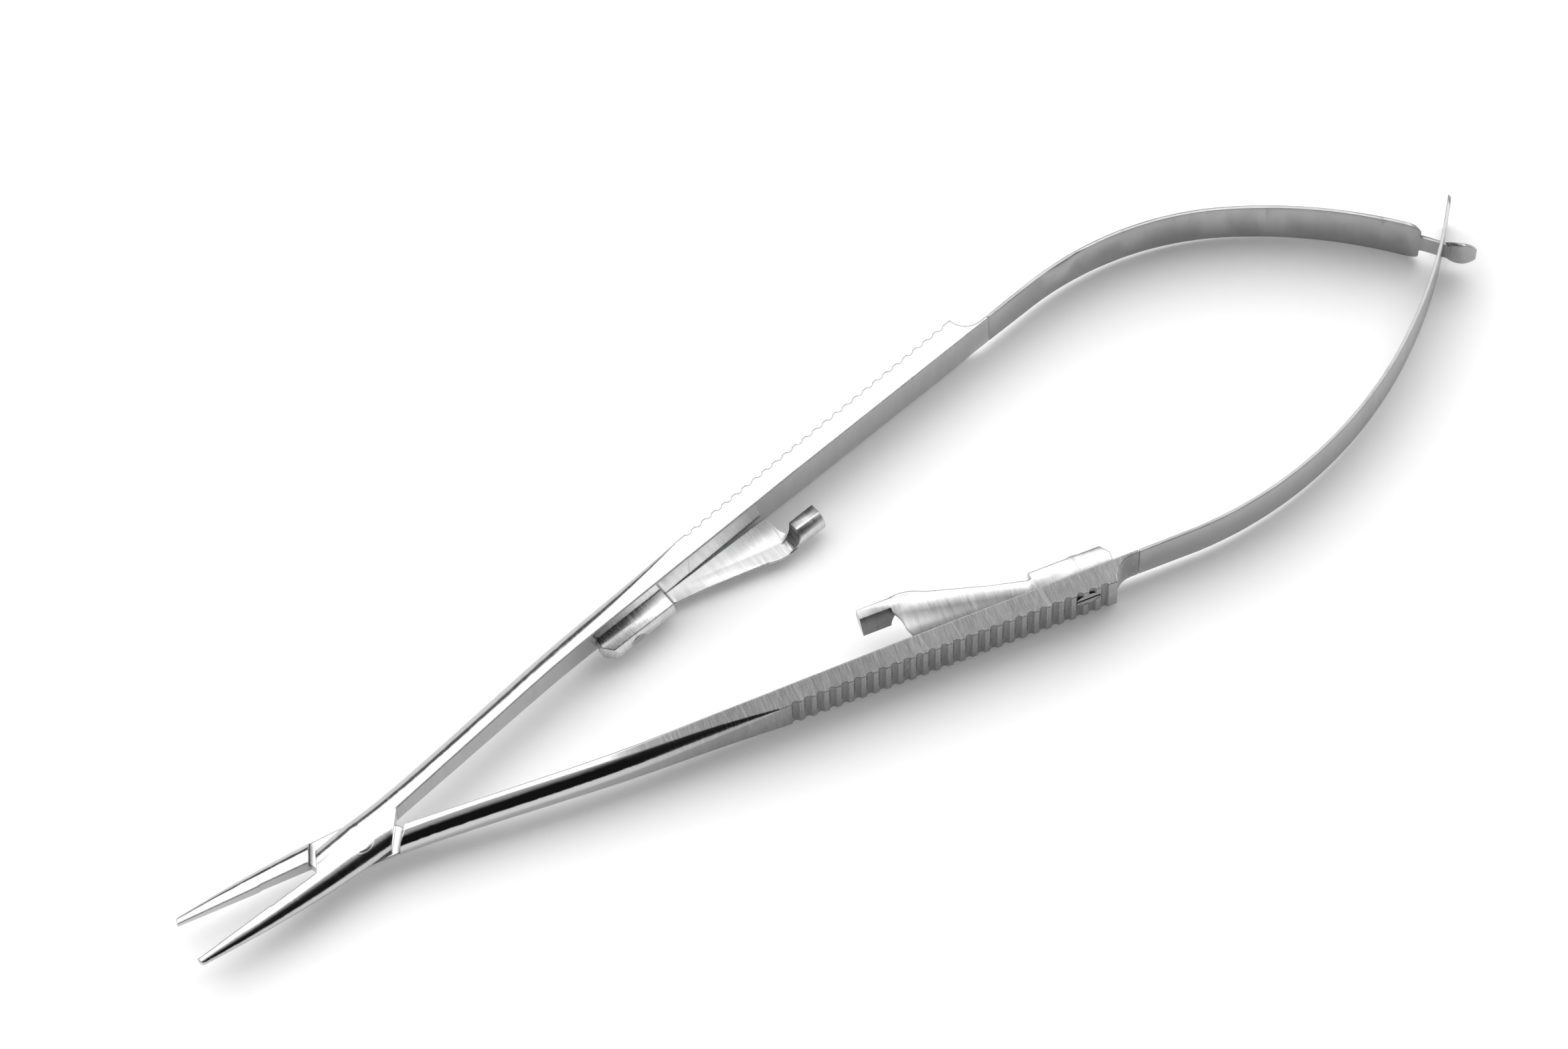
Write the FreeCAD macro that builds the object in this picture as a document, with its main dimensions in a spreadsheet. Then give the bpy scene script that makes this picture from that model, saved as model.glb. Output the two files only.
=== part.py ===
"""Cross-lock surgical needle holder, lying open on its side.

Millimetres.  X runs from the jaws to the spring tail, Y across the handles,
Z up.  The origin is the middle of the bottom of the instrument as it lies.
Each arm is drawn closed, with its gripping face along X through the hinge
pin, and its Placement then opens it by half of the opening angle.
"""
import FreeCAD
import Part
import math
import os
from FreeCAD import Placement, Rotation, Vector

doc = FreeCAD.newDocument("NeedleHolder")
sheet = doc.addObject("Spreadsheet::Sheet", "sizes")

SIZES = {
    # where the hinge pin stands, and how far the arms are open
    "pivot_offset": 51.73,
    "half_opening": 6.0,
    "mid_level": 4.0,
    # heights across the arms: tip, hinge pin, grips
    "tip_height": 0.8,
    "joint_height": 3.2,
    "handle_height": 6.4,
    "full_height_at": 55.0,
    # jaws
    "jaw_length": 18.8,
    "tip_width": 0.65,
    "tip_corner": 0.2,
    "tip_round": 0.45,
    "pad_length": 8.4,
    "pad_relief": 0.08,
    # box joint
    "joint_half_width": 2.3,
    "joint_corner": 1.5,
    "joint_front": 5.0,
    "joint_back": 5.2,
    "shoulder_gap": 0.27,
    "lap_gap": 0.04,
    # shank, from the crotch behind the joint to the first rib
    "crotch_at": 4.62,
    "crotch_gap": 0.36,
    "bend_at": 25.5,
    "bend_gap": 2.645,
    "bend_length": 8.0,
    "shank_width": 2.0,
    "flare_end": 9.0,
    "shank_end": 42.0,
    # ribbed grip, measured along its flat inner face from the bend
    "grip_angle": 3.09,
    "grip_end": 50.17,
    "grip_end_width": 2.26,
    "first_groove": 17.35,
    "groove_pitch": 1.26,
    "groove_count": 26,
    "groove_radius": 0.45,
    "groove_depth": 0.22,
    "end_radius": 2.2,
    "lip_length": 0.8,
    # leaf springs
    "spring_thickness": 0.32,
    "spring_gap": 0.03,
    "spring_straight": 4.9,
    "spring_root_height": 6.4,
    "spring_tail_height": 8.0,
    "crossing_at": 119.25,
    "crossing_side": 1.76,
    "tongue_middle_heading": 27.0,
    "tongue_heading": 50.0,
    "slot_middle_heading": 30.0,
    "slot_heading": 46.5,
    "slot_tail": 4.3,
    "tail_corner": 1.1,
    # tongue, its shoulders and its knob
    "shoulder_back": 2.35,
    "shoulder_round": 0.9,
    "tongue_height": 3.2,
    "neck_length": 0.6,
    "knob_length": 2.8,
    "knob_height": 4.7,
    "knob_curl": 28.0,
    "slot_length": 1.4,
    "slot_clearance": 0.3,
    # hinge pin
    "pin_diameter": 1.8,
    "pin_head_diameter": 2.6,
    "pin_head_depth": 0.4,
    "pin_clearance": 0.02,
    # catches: block, blade and hook bar
    "outer_catch_at": 7.71,
    "inner_catch_at": 47.21,
    "catch_drop": 2.5,
    "block_front": 3.45,
    "block_back": 4.5,
    "block_depth": 1.9,
    "block_bulge": 0.35,
    "block_height": 2.7,
    "block_bevel": 0.95,
    "blade_thickness": 0.45,
    "blade_root": 1.3,
    "blade_reach": 4.6,
    "blade_end": 17.3,
    "blade_gap": 0.25,
    "step_radius": 0.95,
    "bar_start": 16.6,
    "bar_end": 21.1,
    "bar_height": 2.45,
    "bar_width": 1.0,
    "bar_lean": 1.0,
    "ramp_radius": 1.5,
    # catch screws
    "screw_diameter": 1.6,
    "screw_head_diameter": 2.5,
    "screw_head_depth": 0.45,
    "screw_recess": 0.06,
    "screw_slot_width": 0.42,
    "screw_slot_depth": 0.4,
}
for row, (alias, number) in enumerate(SIZES.items(), start=1):
    sheet.set("A%d" % row, alias)
    sheet.set("B%d" % row, str(number))
    sheet.setAlias("B%d" % row, alias)
doc.recompute()


def size(alias):
    """The number in one cell of the sheet."""
    return float(sheet.get(alias))


def turned(x, y, degrees):
    """A point of the plane turned about the origin."""
    c = math.cos(math.radians(degrees))
    s = math.sin(math.radians(degrees))
    return x * c - y * s, x * s + y * c


def origin_plane(body, role):
    """One of a body's own origin planes."""
    for feature in body.Origin.OriginFeatures:
        if feature.Role == role:
            return feature
    raise ValueError(role)


def draw(body, name, role, loops, offset=None):
    """A sketch of closed loops.

    Each loop is a list of corners; a corner written as (middle, end) is the
    far end of an arc through the middle.
    """
    sketch = body.newObject("Sketcher::SketchObject", name)
    sketch.AttachmentSupport = (origin_plane(body, role), [""])
    sketch.MapMode = "FlatFace"
    if offset is not None:
        sketch.AttachmentOffset = offset
    for loop in loops:
        ends = [c[1] if isinstance(c[0], tuple) else c for c in loop]
        for index, corner in enumerate(loop):
            start = Vector(*ends[index - 1], 0)
            stop = Vector(*ends[index], 0)
            if isinstance(corner[0], tuple):
                middle = Vector(*corner[0], 0)
                edge = Part.Arc(start, middle, stop)
            else:
                edge = Part.LineSegment(start, stop)
            sketch.addGeometry(edge, False)
    return sketch


def flip(loop, side):
    """A loop with its second coordinate multiplied by side."""
    out = []
    for corner in loop:
        if isinstance(corner[0], tuple):
            out.append(tuple((x, side * y) for x, y in corner))
        else:
            out.append((corner[0], side * corner[1]))
    return out


def pad(body, name, sketch, alias, symmetric=True):
    """A pad whose length is bound to a cell."""
    feature = body.newObject("PartDesign::Pad", name)
    feature.Profile = sketch
    feature.SideType = "Symmetric" if symmetric else "One side"
    feature.setExpression("Length", "sizes." + alias)
    return feature


def cut_through(body, name, sketch):
    """A pocket through everything, both ways from its sketch."""
    feature = body.newObject("PartDesign::Pocket", name)
    feature.Profile = sketch
    feature.Type = "ThroughAll"
    feature.SideType = "Symmetric"
    return feature


def loft(body, name, sections, ruled):
    """An additive loft through sketches."""
    feature = body.newObject("PartDesign::AdditiveLoft", name)
    feature.Profile = sections[0]
    feature.Sections = sections[1:]
    feature.Ruled = ruled
    return feature


def turned_cut(body, name, sketch):
    """A cut turned about the sketch's own vertical axis."""
    feature = body.newObject("PartDesign::Groove", name)
    feature.Profile = sketch
    feature.ReferenceAxis = (sketch, ["V_Axis"])
    feature.Angle = 360.0
    return feature


def finish_body(body):
    """Recompute a body and stop if anything in it failed."""
    doc.recompute()
    for feature in [body] + list(body.Group):
        if "Invalid" in feature.State or "Error" in feature.State:
            raise RuntimeError("%s in %s failed" % (feature.Name, body.Label))
    if body.Shape.isNull() or not body.Shape.isValid():
        raise RuntimeError(body.Label + " is not a valid shape")


pivot_x = -size("pivot_offset")
mid_z = size("mid_level")
half_opening = size("half_opening")
grip_angle = size("grip_angle")
jaw_length = size("jaw_length")
bend_at = size("bend_at")
bend_gap = size("bend_gap")
bend_length = size("bend_length")
shank_slope = (bend_gap - size("crotch_gap")) / (bend_at - size("crotch_at"))
grip_slope = math.tan(math.radians(grip_angle))
spring_thickness = size("spring_thickness")


def half_height(x):
    """Half of the arm's height at one place along it."""
    joint = size("joint_height") / 2
    if x < 0:
        return joint + (size("tip_height") / 2 - joint) * (-x / jaw_length)
    rise = size("handle_height") / 2 - joint
    return joint + rise * min(1.0, x / size("full_height_at"))


def inner_face(x):
    """The arm's flat inner face: straight shank, gentle bend, straight grip."""
    start = bend_at - bend_length / 2
    line = bend_gap + shank_slope * (x - bend_at)
    if x <= start:
        return line
    if x >= bend_at + bend_length / 2:
        return bend_gap + grip_slope * (x - bend_at)
    return line + (grip_slope - shank_slope) * (x - start) ** 2 / (2 * bend_length)


def outer_side(x):
    """The widest line of the arm's outer side behind the hinge."""
    flare = size("joint_half_width") - bend_gap + shank_slope * bend_at - size("shank_width")
    fade = max(0.0, 1 - x / size("flare_end")) ** 2
    return inner_face(x) + size("shank_width") + flare * fade


def jaw_side(x):
    """The widest line of a jaw's outer side, ahead of the hinge."""
    share = 1 + x / jaw_length
    tip = size("tip_width")
    return tip + (size("joint_half_width") - tip) * share * (1.75 - 0.75 * share)


def section(inner, outer, half, inset, drop):
    """A flat-backed section, full height at inner and rounded off at outer."""
    away = 1 if outer > inner else -1
    flat = outer - away * inset
    middle = flat + away * 0.74 * inset
    return [
        (inner, -half),
        (inner, half),
        (flat, half),
        ((middle, half - 0.29 * drop), (outer, half - drop)),
        (outer, drop - half),
        ((middle, 0.29 * drop - half), (flat, -half)),
    ]


def station(body, name, x, loop, side):
    """A section sketch across the arm at one place along it."""
    loop = [tuple((side * y, z) for y, z in c) if isinstance(c[0], tuple) else (side * c[0], c[1])
            for c in loop]
    return draw(body, name, "YZ_Plane", [loop], Placement(Vector(0, 0, x), Rotation()))


def grip_frame(side, along=0.0, up=0.0):
    """The place of a sketch that lies along the grip's inner face."""
    x = bend_at + along * math.cos(math.radians(grip_angle))
    y = bend_gap + along * math.sin(math.radians(grip_angle))
    return Placement(Vector(x, side * y, up), Rotation(Vector(0, 0, 1), side * grip_angle))


def screw_profile(sign, width, clearance):
    """Half outline of a catch screw or its bore, from the tip up to the head."""
    radius = size("screw_diameter") / 2 + clearance
    head = size("screw_head_diameter") / 2 + clearance
    top = width - size("screw_recess")
    tip = -(size("block_depth") + size("block_bulge") - size("screw_recess"))
    return radius, head, sign * top, sign * (top - size("screw_head_depth")), sign * tip


grip_start_along = (size("shank_end") - 0.8 - bend_at) / math.cos(math.radians(grip_angle))
grip_start_width = size("shank_width") * math.cos(math.radians(grip_angle))


def grip_width(along):
    """The grip's width from its inner face to the tops of its ribs."""
    share = (along - grip_start_along) / (size("grip_end") - grip_start_along)
    return grip_start_width + (size("grip_end_width") - grip_start_width) * max(0.0, share)


end_rise = size("grip_end_width") - spring_thickness
end_run = math.sqrt(size("end_radius") ** 2 - (end_rise - size("end_radius")) ** 2)
lip_end = size("grip_end") + end_run + size("lip_length")


def make_arm(name, side, top_lap, catch_along):
    """One arm: jaw, half of the box joint, shank and ribbed grip."""
    body = doc.addObject("PartDesign::Body", name)
    body.Label = name
    corner = size("joint_corner")
    tip_corner = size("tip_corner")

    # far side of the joint
    front = size("joint_front")
    stations = []
    for index, x in enumerate((-front - 0.6, 0.0)):
        wide = jaw_side(x) - 0.2 * (1 - index)
        loop = section(inner_face(0.0), wide, half_height(x), corner, 0.88 * half_height(x))
        stations.append(station(body, "front_section_%d" % index, x, loop, side))
    loft(body, "joint_front", stations, True)

    # jaw and its side of the joint; one cut leaves the flat gripping pad, the relief
    # behind it and the slanted wall
    stations = []
    for index, share in enumerate((0.0, 0.2, 0.45, 0.72, 1.0)):
        x = jaw_length * (share - 1)
        inset = tip_corner + (corner - tip_corner) * share * (2 - share)
        loop = section(0.08, -jaw_side(x), half_height(x), inset, 0.88 * half_height(x))
        stations.append(station(body, "jaw_section_%d" % index, x, loop, side))
    loft(body, "jaw", stations, False)
    relief = size("pad_relief")
    pad_end = size("pad_length") - jaw_length
    face = [(-front - 0.64 * relief, -relief), (-front + 1.25, 1.95), (-front + 2.3, 3.6), (-jaw_length - 1, 3.6),
            (-jaw_length - 1, 0.0), (pad_end, 0.0), (pad_end + 2 * relief, -relief)]
    cut_through(body, "gripping_face", draw(body, "gripping_face_line", "XY_Plane", [flip(face, side)]))
    back = size("joint_back")
    stations = []
    for index, x in enumerate((0.0, back)):
        wide = size("joint_half_width") + 0.02 * x
        loop = section(0.5, -wide, half_height(x), corner, 0.88 * half_height(x))
        stations.append(station(body, "joint_section_%d" % index, x, loop, side))
    loft(body, "joint_rear", stations, True)

    # the joint ends behind in a slanted wall that meets the crotch
    crotch = (size("crotch_at"), size("crotch_gap"))
    wall = [(crotch[0] + 0.23, crotch[1] + 0.24), (crotch[0] - 3.84, crotch[1] - 4.0),
            (crotch[0] + 3, crotch[1] - 4.0), (crotch[0] + 3, crotch[1] + 0.24)]
    cut_through(body, "joint_rear_wall", draw(body, "rear_wall_line", "XY_Plane", [flip(wall, side)]))

    # shank from the joint up to the first rib
    shank_end = size("shank_end")
    stations = []
    for index in range(9):
        x = shank_end * index / 8
        share = x / shank_end
        inset = 0.02 + (corner - 0.02) * (1 - share ** 4)
        drop = 0.04 + (0.88 * half_height(x) - 0.04) * (1 - share ** 4)
        loop = section(inner_face(x), outer_side(x), half_height(x), inset, drop)
        stations.append(station(body, "shank_section_%d" % index, x, loop, side))
    loft(body, "shank", stations, False)

    # ribbed grip, ending in a hollow that runs down to the spring's thickness
    end = size("grip_end")
    wide = size("grip_end_width")
    radius = size("end_radius")
    centre = (end + end_run, spring_thickness + radius)
    swing = (math.atan2(wide - centre[1], end - centre[0]) + 2 * math.pi + 1.5 * math.pi) / 2
    middle = (centre[0] + radius * math.cos(swing), centre[1] + radius * math.sin(swing))
    grip = [
        (grip_start_along, 0.0),
        (lip_end, 0.0),
        (lip_end, spring_thickness),
        (end + end_run, spring_thickness),
        (middle, (end, wide)),
        (grip_start_along, grip_start_width),
    ]
    grip_sketch = draw(body, "grip_outline", "XY_Plane", [flip(grip, side)], grip_frame(side))
    pad(body, "grip", grip_sketch, "handle_height")
    full = size("full_height_at")
    begin = shank_end - 2
    wedges = []
    for up in (1, -1):
        wedges.append([(begin, up * half_height(begin)), (full, up * half_height(full)),
                       (begin, up * (half_height(full) + 0.6))])
    cut_through(body, "grip_taper", draw(body, "grip_taper_lines", "XZ_Plane", wedges))

    # grooves between the ribs
    lean = math.degrees(math.atan2(wide - grip_start_width, end - grip_start_along))
    first = size("first_groove")
    centre_up = size("groove_radius") - size("groove_depth")
    place = grip_frame(side, first)
    place = place.multiply(Placement(Vector(0, side * grip_width(first), 0),
                                     Rotation(Vector(0, 0, 1), side * lean)))
    groove = body.newObject("Sketcher::SketchObject", "groove_circle")
    groove.AttachmentSupport = (origin_plane(body, "XY_Plane"), [""])
    groove.MapMode = "FlatFace"
    groove.AttachmentOffset = place
    groove.addGeometry(Part.Circle(Vector(0, side * centre_up, 0), Vector(0, 0, 1), size("groove_radius")))
    one = cut_through(body, "groove", groove)
    doc.recompute()
    ribs = body.newObject("PartDesign::LinearPattern", "grooves")
    ribs.Originals = [one]
    ribs.Direction = (groove, ["H_Axis"])
    ribs.Mode = "Spacing"
    ribs.setExpression("Offset", "sizes.groove_pitch")
    ribs.setExpression("Occurrences", "sizes.groove_count")
    body.Tip = ribs

    # half lap: one arm keeps the upper half of the joint, the other the lower
    gap = size("shoulder_gap")
    x0 = -front - gap
    lap = [(x0 - 1.36, 3.2), (x0 + 0.03, 0.0), (x0 + 1.42, -3.2), (crotch[0] + 2.3, -3.2),
           (crotch[0] - 0.22, 0.47), (crotch[0] - 2.1, 3.2)]
    lap_sketch = draw(body, "lap_outline", "XY_Plane", [flip(lap, side)],
                      Placement(Vector(0, 0, top_lap * size("lap_gap") / 2), Rotation()))
    lap_cut = body.newObject("PartDesign::Pocket", "half_lap")
    lap_cut.Profile = lap_sketch
    lap_cut.Type = "Length"
    lap_cut.Reversed = top_lap < 0
    lap_cut.setExpression("Length", "sizes.joint_height")

    # seat for the hinge pin, with its countersink on the outer face
    clearance = 0.0 if top_lap > 0 else size("pin_clearance")
    pin = size("pin_diameter") / 2 + clearance
    head = size("pin_head_diameter") / 2 + clearance
    half = size("joint_height") / 2
    depth = size("pin_head_depth")
    over = head + (head - pin) / depth * 0.5
    bore = [(0.0, -top_lap * 1.0), (pin, -top_lap * 1.0), (pin, top_lap * (half - depth)),
            (over, top_lap * (half + 0.5)), (0.0, top_lap * (half + 0.5))]
    turned_cut(body, "pin_seat", draw(body, "pin_seat_outline", "XZ_Plane", [bore]))

    # bore and countersink of the catch screw
    level = -top_lap * (size("catch_drop") - size("block_height") / 2)
    radius, head, top, neck, tip = screw_profile(side, grip_width(catch_along), 0.0)
    bore = [(0.0, -side * 1.0), (radius, -side * 1.0), (radius, neck), (head, top),
            (head, top + side), (0.0, top + side)]
    turned_cut(body, "screw_seat", draw(body, "screw_seat_outline", "XY_Plane", [bore],
                                        grip_frame(side, catch_along, level)))

    # blunt, rounded tip
    turn = size("tip_round")
    tip_wide = size("tip_width") + 0.3
    nose = [(-jaw_length - 0.5, -tip_wide), (-jaw_length - 0.5, 0.1), (-jaw_length, 0.1),
            (-jaw_length, -tip_wide + 0.3 + turn),
            ((-jaw_length + 0.29 * turn, -tip_wide + 0.3 + 0.29 * turn),
             (-jaw_length + turn, -tip_wide + 0.25)), (-jaw_length + turn, -tip_wide)]
    cut_through(body, "tip", draw(body, "tip_outline", "XY_Plane", [flip(nose, side)]))
    body.Placement = Placement(Vector(pivot_x, 0, mid_z), Rotation(Vector(0, 0, 1), side * half_opening))
    finish_body(body)
    return body


def grip_point(side, along, away=0.0):
    """A point of an open arm's inner face, seen from above."""
    x = bend_at + along * math.cos(math.radians(grip_angle)) - away * math.sin(math.radians(grip_angle))
    y = bend_gap + along * math.sin(math.radians(grip_angle)) + away * math.cos(math.radians(grip_angle))
    x, y = turned(x, y, half_opening)
    return x, side * y


def catch_place(side, along, level):
    """The place of a catch or its screw on the inner face of its arm."""
    x, y = grip_point(side, along)
    base = Vector(pivot_x + x, y, mid_z + level)
    if side > 0:
        return Placement(base, Rotation(Vector(0, 0, 1), half_opening + grip_angle))
    back = Rotation(Vector(0, 0, 1), 180 - half_opening - grip_angle)
    return Placement(base, back.multiply(Rotation(Vector(1, 0, 0), 180)))


def make_catch(name, side, along):
    """A catch: screwed block, thin blade and a leaning hook bar at its end."""
    body = doc.addObject("PartDesign::Body", name)
    body.Label = name
    across = -side
    depth = size("block_depth")
    bulge = size("block_bulge")
    high = size("block_height")
    front = size("block_front")
    back = size("block_back")

    # block with a rounded outer side
    loop = [(0.0, 0.0), (across * depth, 0.0),
            ((across * (depth + bulge), high / 2), (across * depth, high)), (0.0, high)]
    block = draw(body, "block_section", "YZ_Plane", [loop], Placement(Vector(0, 0, -front), Rotation()))
    feature = body.newObject("PartDesign::Pad", "block")
    feature.Profile = block
    feature.SideType = "One side"
    feature.setExpression("Length", "sizes.block_front + sizes.block_back")
    bevel = size("block_bevel")
    corner = [(-front - 0.1, depth - bevel), (-front + 0.8 * bevel, depth + 0.1),
              (-front + 1.4 * bevel, depth + bulge + 0.1), (-front - 0.1, depth + bulge + 0.1)]
    heel = [(-front - 0.1, -0.1), (-front + 0.6, -0.1), (-front - 0.1, 0.3)]
    cut_through(body, "block_bevels",
                draw(body, "block_bevel_lines", "XY_Plane", [flip(corner, across), flip(heel, across)]))

    # blade, widening towards the hook bar
    reach = size("blade_reach")
    root = size("blade_root")
    end = size("blade_end")
    gap = size("blade_gap")
    inner = reach - size("bar_width") - size("bar_lean")
    outline = [
        (0.0, 0.0), (back + 0.5, 0.0), (end - 0.3, gap), (end, 1.2),
        ((end + 0.15, inner - 0.4), (end + 0.6, inner + 0.5)), (end + 0.6, reach),
        ((end - 1.6, reach - 0.08), (end - 2.9, reach - 0.62)), (back + 4, 0.5 * (reach + root) - 0.75),
        (back + 0.35, root), (0.0, root),
    ]
    pad(body, "blade", draw(body, "blade_outline", "XY_Plane", [flip(outline, across)]),
        "blade_thickness", False)

    # hollow step from the block down to the blade
    radius = size("step_radius")
    thick = size("blade_thickness")
    step = [(back - 0.2, thick - 0.05), (back + radius, thick - 0.05), (back + radius, thick),
            ((back + 0.293 * radius, thick + 0.293 * radius), (back, thick + radius)),
            (back, high), (back - 0.2, high)]
    hollow = body.newObject("PartDesign::Pad", "step")
    hollow.Profile = draw(body, "step_outline", "XZ_Plane", [step])
    hollow.SideType = "One side"
    hollow.Reversed = across > 0
    hollow.setExpression("Length", "sizes.blade_root")

    # hook bar: leans back towards its own arm, rounded along its outer side
    tall = size("bar_height")
    wide = size("bar_width")
    lean = size("bar_lean")
    bar = [
        (reach - wide, 0.0), (reach, 0.0), (reach + 0.02, 0.35 * tall),
        ((reach - 0.22 * lean, 0.75 * tall), (reach - 0.9 * lean, tall)),
        (reach - wide - lean, 0.86 * tall),
    ]
    bar_sketch = draw(body, "bar_section", "YZ_Plane", [[(across * c[0], c[1]) if not isinstance(c[0], tuple)
                      else tuple((across * y, z) for y, z in c) for c in bar]],
                      Placement(Vector(0, 0, size("bar_start")), Rotation()))
    feature = body.newObject("PartDesign::Pad", "bar")
    feature.Profile = bar_sketch
    feature.SideType = "One side"
    feature.setExpression("Length", "sizes.bar_end - sizes.bar_start")
    ramp = size("ramp_radius")
    start = size("bar_start")
    rise = tall - thick
    ramp_end = start + 1.7
    slope = [(start - 0.5, thick), (start, thick),
             ((start + 0.62 * 1.7, thick + 0.29 * rise / ramp * 1.5), (ramp_end, tall)),
             (ramp_end, tall + 0.5), (start - 0.5, tall + 0.5)]
    cut_through(body, "ramp", draw(body, "ramp_outline", "XZ_Plane", [slope]))

    # screw bore
    radius, head, top, neck, tip = screw_profile(-across, 3.0, 0.0)
    bore = [(0.0, 0.0), (radius, 0.0), (radius, tip + 2 * across), (0.0, tip + 2 * across)]
    turned_cut(body, "screw_bore", draw(body, "screw_bore_outline", "XY_Plane", [bore],
                                        Placement(Vector(0, 0, high / 2), Rotation())))
    body.Placement = catch_place(side, along, -side * size("catch_drop"))
    finish_body(body)
    return body


def make_screw(name, side, along):
    """A countersunk slotted screw that holds a catch to its arm."""
    body = doc.addObject("PartDesign::Body", name)
    body.Label = name
    radius, head, top, neck, tip = screw_profile(side, grip_width(along), 0.0)
    outline = [(0.0, tip), (radius, tip), (radius, neck), (head, top), (0.0, top)]
    turned_solid = body.newObject("PartDesign::Revolution", "turned")
    profile = draw(body, "outline", "XY_Plane", [outline])
    turned_solid.Profile = profile
    turned_solid.ReferenceAxis = (profile, ["V_Axis"])
    turned_solid.Angle = 360.0
    deep = size("screw_slot_depth")
    half = size("screw_slot_width") / 2
    slot = [(top - side * deep, -half), (top - side * deep, half), (top + side, half), (top + side, -half)]
    cut_through(body, "driver_slot", draw(body, "slot_outline", "YZ_Plane", [slot]))
    level = -side * (size("catch_drop") - size("block_height") / 2)
    place = catch_place(side, along, level)
    body.Placement = place
    finish_body(body)
    return body


def make_pin(name):
    """The hinge pin, riveted flush into both countersinks."""
    body = doc.addObject("PartDesign::Body", name)
    body.Label = name
    half = size("joint_height") / 2
    radius = size("pin_diameter") / 2
    head = size("pin_head_diameter") / 2
    depth = size("pin_head_depth")
    over = head + (head - radius) / depth * 0.5
    outline = [(0.0, -half - 0.5), (over, -half - 0.5), (radius, depth - half), (radius, half - depth),
               (over, half + 0.5), (0.0, half + 0.5)]
    profile = draw(body, "outline", "XZ_Plane", [outline])
    solid = body.newObject("PartDesign::Revolution", "turned")
    solid.Profile = profile
    solid.ReferenceAxis = (profile, ["V_Axis"])
    solid.Angle = 360.0
    wedges = []
    for up in (1, -1):
        wedges.append([(-head - 2, up * half_height(-head - 2)), (0.0, up * half),
                       (head + 2, up * half_height(head + 2)), (head + 2, up * (half + 1)),
                       (-head - 2, up * (half + 1))])
    cut_through(body, "flush", draw(body, "flush_lines", "XZ_Plane", wedges))
    body.Placement = Placement(Vector(pivot_x, 0, mid_z), Rotation(Vector(0, 0, 1), half_opening))
    finish_body(body)
    return body


def walk(x, y, heading, steps):
    """Follow straight steps and turning steps; returns both ends of each."""
    track = []
    for length, turn in steps:
        start = (x, y, heading)
        if turn == 0:
            x += length * math.cos(heading)
            y += length * math.sin(heading)
            middle = None
        else:
            radius = length / turn
            half = heading + turn / 2
            middle = (x + radius * (math.sin(half) - math.sin(heading)),
                      y - radius * (math.cos(half) - math.cos(heading)), half)
            final = heading + turn
            x += radius * (math.sin(final) - math.sin(heading))
            y -= radius * (math.cos(final) - math.cos(heading))
            heading = final
        track.append((start, middle, (x, y, heading)))
    return track


def beside(point, distance):
    """A point beside a track, to the left of its heading."""
    return point[0] - distance * math.sin(point[2]), point[1] + distance * math.cos(point[2])


def ribbon(track, thickness):
    """The outline of a strip that follows a track, with a round root."""
    half = thickness / 2
    first = track[0][0]
    loop = [beside(first, -half)]
    for start, middle, end in track:
        loop.append(beside(end, -half) if middle is None else (beside(middle, -half), beside(end, -half)))
    loop.append(beside(track[-1][2], half))
    for start, middle, end in reversed(track):
        loop.append(beside(start, half) if middle is None else (beside(middle, half), beside(start, half)))
    nose = (first[0] - half * math.cos(first[2]), first[1] - half * math.sin(first[2]))
    loop[0] = (nose, loop[0])
    return loop


def spring_track(side, middle_heading, cross_heading):
    """The two bends that carry a spring from its root to the crossing."""
    x, y = grip_point(1, lip_end + size("spring_gap") + spring_thickness / 2, spring_thickness / 2)
    h0 = math.radians(half_opening + grip_angle)
    h1 = -math.radians(middle_heading)
    h2 = -math.radians(cross_heading)
    straight = size("spring_straight")
    dx = size("crossing_at") - x - straight * math.cos(h0)
    dy = -side * size("crossing_side") - y - straight * math.sin(h0)
    ax, ay = math.sin(h0) - math.sin(h1), math.cos(h1) - math.cos(h0)
    bx, by = math.sin(h1) - math.sin(h2), math.cos(h2) - math.cos(h1)
    det = ax * by - ay * bx
    r1 = (dx * by - dy * bx) / det
    r2 = (ax * dy - ay * dx) / det
    steps = [(straight, 0), (r1 * (h0 - h1), h1 - h0), (r2 * (h1 - h2), h2 - h1)]
    return (x, y, h0), steps, r1, r2


def taper(body, track_start, kept, right):
    """Cut a spring to its side view, kept on both sides of the middle level."""
    left = track_start - 2
    outer = [(left, -6.0), (right, -6.0), (right, 6.0), (left, 6.0)]
    mirrored = [tuple((x, -z) for x, z in c) if isinstance(c[0], tuple) else (c[0], -c[1]) for c in kept]
    lower = []
    ends = [c[1] if isinstance(c[0], tuple) else c for c in mirrored]
    for index in range(len(mirrored) - 1, 0, -1):
        corner = mirrored[index]
        if isinstance(corner[0], tuple):
            lower.append((corner[0], ends[index - 1]))
        else:
            lower.append(ends[index - 1])
    loop = list(kept) + lower
    cut_through(body, "side_view", draw(body, "side_view_outline", "XZ_Plane", [outer, loop]))


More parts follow.
